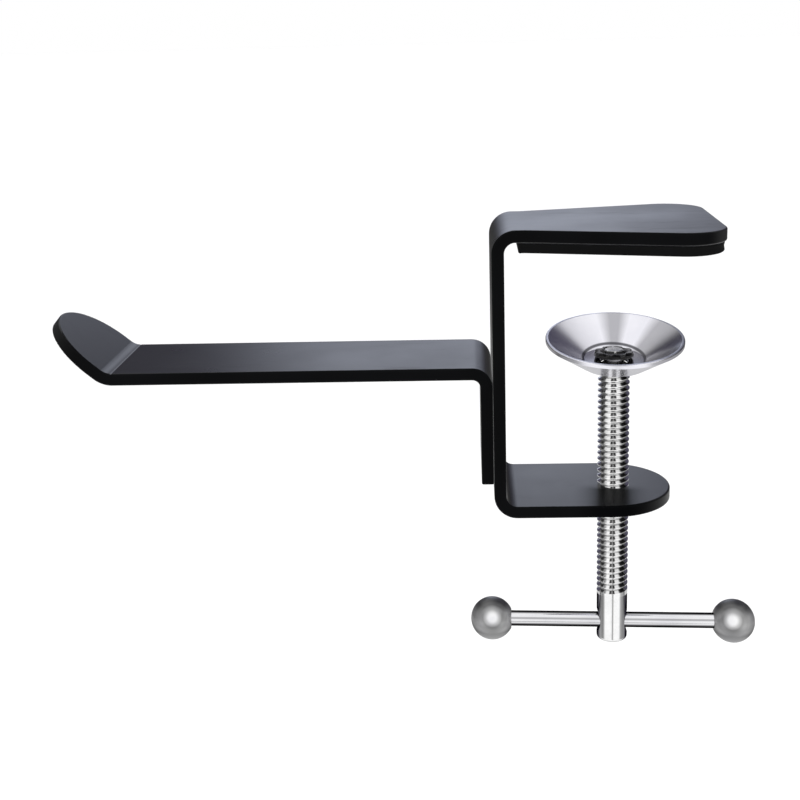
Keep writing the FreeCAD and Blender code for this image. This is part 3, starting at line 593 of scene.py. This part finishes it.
# The camera's angles are in radians.
CAMERA_PLACE = Vector((-0.0356, -0.3105, 0.0523))
CAMERA_YAW = -0.0402             # turned slightly towards the arm
CAMERA_DIP = 0.2223              # looking a little down
CAMERA_ROLL = 0.0258
CAMERA_LENS = 57.4
CAMERA_SHIFT = (-0.026, -0.1055)

# These nodes and the pad stay out of reflections: the metal mirrors the bare studio, not the black
# clamp around it.
UNMIRRORED_NODES = ("clamp_frame", "pad_adhesive", "hook_arm")


def add_camera():
    """The camera looks along +Y, a little down, from in front of the clamp."""
    ahead = Vector((math.sin(CAMERA_YAW) * math.cos(CAMERA_DIP),
                    math.cos(CAMERA_YAW) * math.cos(CAMERA_DIP), -math.sin(CAMERA_DIP)))
    level = Vector((math.cos(CAMERA_YAW), -math.sin(CAMERA_YAW), 0))
    down = ahead.cross(level)
    right = level * math.cos(CAMERA_ROLL) + down * math.sin(CAMERA_ROLL)
    lower = down * math.cos(CAMERA_ROLL) - level * math.sin(CAMERA_ROLL)
    data = bpy.data.cameras.new("camera")
    data.lens = CAMERA_LENS
    data.sensor_width = 36.0
    data.shift_x, data.shift_y = CAMERA_SHIFT
    data.clip_start = 0.01
    camera = bpy.data.objects.new("camera", data)
    turn = Matrix((right, -lower, -ahead)).transposed().to_4x4()
    camera.matrix_world = Matrix.Translation(CAMERA_PLACE) @ turn
    bpy.context.scene.collection.objects.link(camera)
    bpy.context.scene.camera = camera


def add_floor():
    low, _ = cad_box
    bpy.ops.mesh.primitive_plane_add(size=FLOOR_SIZE, location=(0, 0, low[2] - FLOOR_DROP))
    floor = bpy.context.object
    floor.name = "studio_floor"
    floor.data.materials.append(pale_paper())
    floor.visible_glossy = False    # the world draws what metal mirrors below


def add_softbox():
    data = bpy.data.lights.new("overhead_softbox", "AREA")
    data.shape = "RECTANGLE"
    data.size = SOFTBOX_SIZE
    data.size_y = SOFTBOX_SIZE
    data.energy = SOFTBOX_WATTS
    light = bpy.data.objects.new("overhead_softbox", data)
    light.location = SOFTBOX_PLACE
    light.rotation_euler = (SOFTBOX_AIM - SOFTBOX_PLACE).to_track_quat("-Z", "Y").to_euler()
    light.visible_glossy = False    # the world draws what metal mirrors overhead
    bpy.context.scene.collection.objects.link(light)


# ---- the studio that metal mirrors --------------------------------------------------------------

# Directions are given by compass, where 0 and 1 are towards the camera, 0.25 is -X, 0.5 is behind
# the object and 0.75 is +X, and by height, from -1 straight down through 0 level to 1 straight up.
# A slope is where something starts to show and where it shows in full. A window has two of them.

# Level walls as (compass, grey) stops: a bright front, grey sides and a dark back.
WALLS = [
    (0.000, 1.00), (0.160, 1.00), (0.200, 0.30), (0.290, 0.13), (0.370, 0.09), (0.630, 0.09),
    (0.700, 0.22), (0.760, 0.33), (0.825, 0.42), (0.862, 1.00), (1.000, 1.00),
]
SEAM_FROM_FRONT = (0.020, 0.012)
SEAM_HEIGHT = ((-0.54, -0.50), (-0.34, -0.38))
CEILING_HEIGHT = (0.45, 0.72)
DRAPES_COMPASS = ((0.36, 0.41), (0.66, 0.63))
DRAPES_FOOT = (0.05, 0.12)
DRAPES_TOP = (0.86, 0.62)
DRAPES_CLIMB = -0.6              # the drapes hang from higher up on +X
DRAPES_COLOUR = (0.085, 0.080, 0.115, 1)
LAMP_COMPASS = ((0.464, 0.487), (0.548, 0.522))
LAMP_HEIGHT = ((-0.02, 0.06), (0.62, 0.42))
LAMP_BRIGHTER = (0.22, 0.32)
LAMP_LOWER_COLOUR = (0.90, 0.96, 1.14, 1)
LAMP_UPPER_COLOUR = (1.15, 1.22, 1.42, 1)
POST_COMPASS = ((0.516, 0.523), (0.56, 0.55))
POST_HEIGHT = ((0.20, 0.26), (0.42, 0.37))
POST_DARKNESS = 0.85
PAPER_TOP = (-0.40, -0.55)
PAPER_CLIMB = -0.25              # the paper climbs behind the object
PAPER_FADE = (0.0, 0.5)          # and is greyer there
BASE_TOP = (-0.86, -0.95)
BASE_CLIMB = -0.15
GLOW = 1.16                      # brightness of the even light on matt surfaces


def lean(sky, height, across, climb):
    """Height on a scale that tilts with the direction's X or Y."""
    return sky.calc("ADD", height, sky.calc("MULTIPLY", across, climb))


def studio_in_metal(sky):
    """What polished and painted metal mirrors, by direction."""
    place = sky.parts(sky.add("ShaderNodeTexCoord").outputs["Generated"])
    height = place["Z"]
    compass = sky.calc("ARCTAN2", place["X"], place["Y"])
    compass = sky.calc("ADD", sky.calc("DIVIDE", compass, 2 * math.pi), 0.5)
    colour = sky.curve(compass, WALLS)
    # in front: a short grey seam below eye level
    from_front = sky.calc("SUBTRACT", 0.5, sky.calc("ABSOLUTE", sky.calc("SUBTRACT", compass, 0.5)))
    seam = sky.calc("MULTIPLY", sky.spread(from_front, *SEAM_FROM_FRONT),
                    sky.window(height, *SEAM_HEIGHT))
    colour = sky.blend(seam, colour, grey(0.40))
    # overhead: a white ceiling
    colour = sky.blend(sky.spread(height, *CEILING_HEIGHT), colour, grey(1.0))
    # behind, above eye level: dark drapes with a violet cast
    hanging = lean(sky, height, place["X"], DRAPES_CLIMB)
    drapes = sky.calc("MULTIPLY", sky.spread(height, *DRAPES_FOOT), sky.spread(hanging, *DRAPES_TOP))
    drapes = sky.calc("MULTIPLY", sky.window(compass, *DRAPES_COMPASS), drapes)
    colour = sky.blend(drapes, colour, DRAPES_COLOUR)
    # in front of them: a tall bluish light, which the coat picks up at a low angle, with a post
    # before its +X half
    lamp = sky.calc("MULTIPLY", sky.window(compass, *LAMP_COMPASS), sky.window(height, *LAMP_HEIGHT))
    post = sky.calc("MULTIPLY", sky.window(compass, *POST_COMPASS), sky.window(height, *POST_HEIGHT))
    lamp = sky.calc("MULTIPLY", lamp, sky.invert(sky.calc("MULTIPLY", post, POST_DARKNESS)))
    glow = sky.blend(sky.spread(height, *LAMP_BRIGHTER), LAMP_LOWER_COLOUR, LAMP_UPPER_COLOUR)
    colour = sky.blend(lamp, colour, glow)
    # below: pale paper, with a grey base straight down
    paper = sky.blend(sky.spread(place["Y"], *PAPER_FADE), grey(0.92), grey(0.62))
    paper_height = lean(sky, height, place["Y"], PAPER_CLIMB)
    colour = sky.blend(sky.spread(paper_height, *PAPER_TOP), colour, paper)
    base_height = lean(sky, height, place["Y"], BASE_CLIMB)
    return sky.blend(sky.spread(base_height, *BASE_TOP), colour, grey(0.60))


def build_world():
    """Plain white for the camera, an even glow for matt surfaces, a studio for reflections."""
    world = bpy.data.worlds.new("studio")
    world.use_nodes = True
    world.node_tree.nodes.clear()
    bpy.context.scene.world = world
    sky = Nodes(world.node_tree)
    ray = sky.add("ShaderNodeLightPath").outputs
    seen = sky.blend(ray["Is Glossy Ray"], grey(GLOW), studio_in_metal(sky))
    seen = sky.blend(ray["Is Camera Ray"], seen, grey(1.0))
    light = sky.add("ShaderNodeBackground", {"Color": seen, "Strength": 1.0})
    sky.add("ShaderNodeOutputWorld", {"Surface": light.outputs[0]})


dress_cad_nodes()
jaw_pad = make_jaw_pad()
for piece in [jaw_pad] + [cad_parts[name] for name in UNMIRRORED_NODES]:
    piece.visible_glossy = False
add_floor()
add_softbox()
build_world()
add_camera()
bpy.context.scene.view_settings.view_transform = "Standard"
